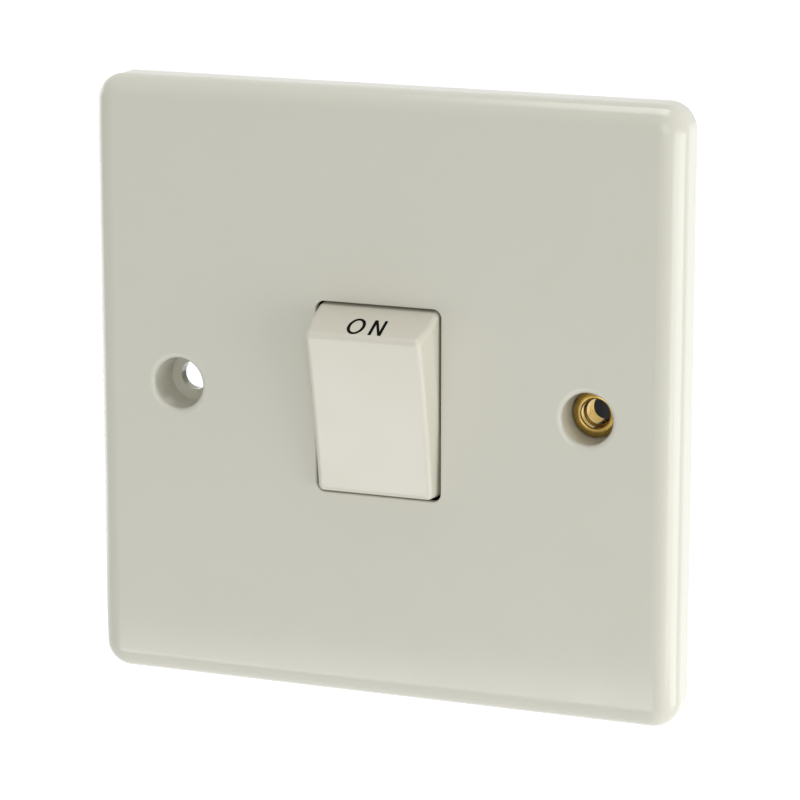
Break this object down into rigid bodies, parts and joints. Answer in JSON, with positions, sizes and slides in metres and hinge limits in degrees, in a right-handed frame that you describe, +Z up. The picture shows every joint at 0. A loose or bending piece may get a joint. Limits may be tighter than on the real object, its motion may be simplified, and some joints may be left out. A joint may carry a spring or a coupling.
{
  "type": "double pole switch",
  "caption": "One-gang double pole rocker switch with a moulded plate, sprung plungers, rocking contact arms and screw terminals.",
  "frame": {"origin": "on the wall plane, midway between the two fixing holes", "axes": "-Y out of the wall towards the user, +Z up, +X to the right as the user sees it"},
  "size_m": [0.086, 0.0336, 0.086],
  "materials": {
    "plate": "moulded, soft gloss",
    "rocker": "moulded, soft gloss",
    "housing": "moulded black, matt",
    "plunger": "moulded nylon",
    "brass": "turned and milled",
    "copper": "rolled strip",
    "silver": "headed rivet",
    "steel": "zinc plated",
    "spring": "drawn wire"
  },
  "bodies": {
    "housing": {"front_plate": "plate", "rear_housing": "housing", "housing_screws": "steel", "earth_eyelet": "brass", "earth_strap": "brass", "earth_terminal": "brass", "fixed_contact_live": "silver", "load_strip_live": "copper", "fulcrum_live": "copper", "load_terminal_live": "brass", "supply_terminal_live": "brass", "fixed_contact_neutral": "silver", "load_strip_neutral": "copper", "fulcrum_neutral": "copper", "load_terminal_neutral": "brass", "supply_terminal_neutral": "brass"},
    "rocker": {"rocker": "rocker", "plunger_spring_live": "spring", "plunger_spring_neutral": "spring"},
    "plunger_live": {"plunger_live": "plunger"},
    "arm_live": {"contact_arm_live": "copper", "moving_contact_live": "silver"},
    "plunger_neutral": {"plunger_neutral": "plunger"},
    "arm_neutral": {"contact_arm_neutral": "copper", "moving_contact_neutral": "silver"},
    "load_clamp_screw_live": {"load_clamp_screw_live": "steel"},
    "load_clamp_screw_neutral": {"load_clamp_screw_neutral": "steel"},
    "supply_clamp_screw_live": {"supply_clamp_screw_live": "steel"},
    "supply_clamp_screw_neutral": {"supply_clamp_screw_neutral": "steel"},
    "earth_clamp_screw": {"earth_clamp_screw": "steel"}
  },
  "joints": [
    {"name": "rocker_hinge", "type": "hinge", "parent": "housing", "child": "rocker", "pos_m": [0, -0.0033, 0], "axis": [1, 0, 0], "range_deg": [-23, 0]},
    {"name": "plunger_slide_live", "type": "slide", "parent": "rocker", "child": "plunger_live", "axis": [0, 0.9799, 0.1994], "range_m": [-0.0006, 0], "stiffness_N_per_m": 400, "springref_m": 0.0025, "deforming": ["plunger_spring_live"]},
    {"name": "arm_hinge_live", "type": "hinge", "parent": "housing", "child": "arm_live", "pos_m": [-0.0052, 0.0078, 0], "axis": [1, 0, 0], "range_deg": [0, 18.4]},
    {"name": "plunger_slide_neutral", "type": "slide", "parent": "rocker", "child": "plunger_neutral", "axis": [0, 0.9799, 0.1994], "range_m": [-0.0006, 0], "stiffness_N_per_m": 400, "springref_m": 0.0025, "deforming": ["plunger_spring_neutral"]},
    {"name": "arm_hinge_neutral", "type": "hinge", "parent": "housing", "child": "arm_neutral", "pos_m": [0.0052, 0.0078, 0], "axis": [1, 0, 0], "range_deg": [0, 18.4]},
    {"name": "load_clamp_screw_live_travel", "type": "slide", "parent": "housing", "child": "load_clamp_screw_live", "axis": [0, -1, 0], "range_m": [0, 0.003]},
    {"name": "load_clamp_screw_neutral_travel", "type": "slide", "parent": "housing", "child": "load_clamp_screw_neutral", "axis": [0, -1, 0], "range_m": [0, 0.003]},
    {"name": "supply_clamp_screw_live_travel", "type": "slide", "parent": "housing", "child": "supply_clamp_screw_live", "axis": [0, -1, 0], "range_m": [0, 0.003]},
    {"name": "supply_clamp_screw_neutral_travel", "type": "slide", "parent": "housing", "child": "supply_clamp_screw_neutral", "axis": [0, -1, 0], "range_m": [0, 0.003]},
    {"name": "earth_clamp_screw_travel", "type": "slide", "parent": "housing", "child": "earth_clamp_screw", "axis": [0, -1, 0], "range_m": [0, 0.003]}
  ],
  "couplings": [
    {"joint": "arm_hinge_live", "follows": "rocker_hinge", "ratio": -0.8},
    {"joint": "arm_hinge_neutral", "follows": "rocker_hinge", "ratio": -0.8}
  ]
}
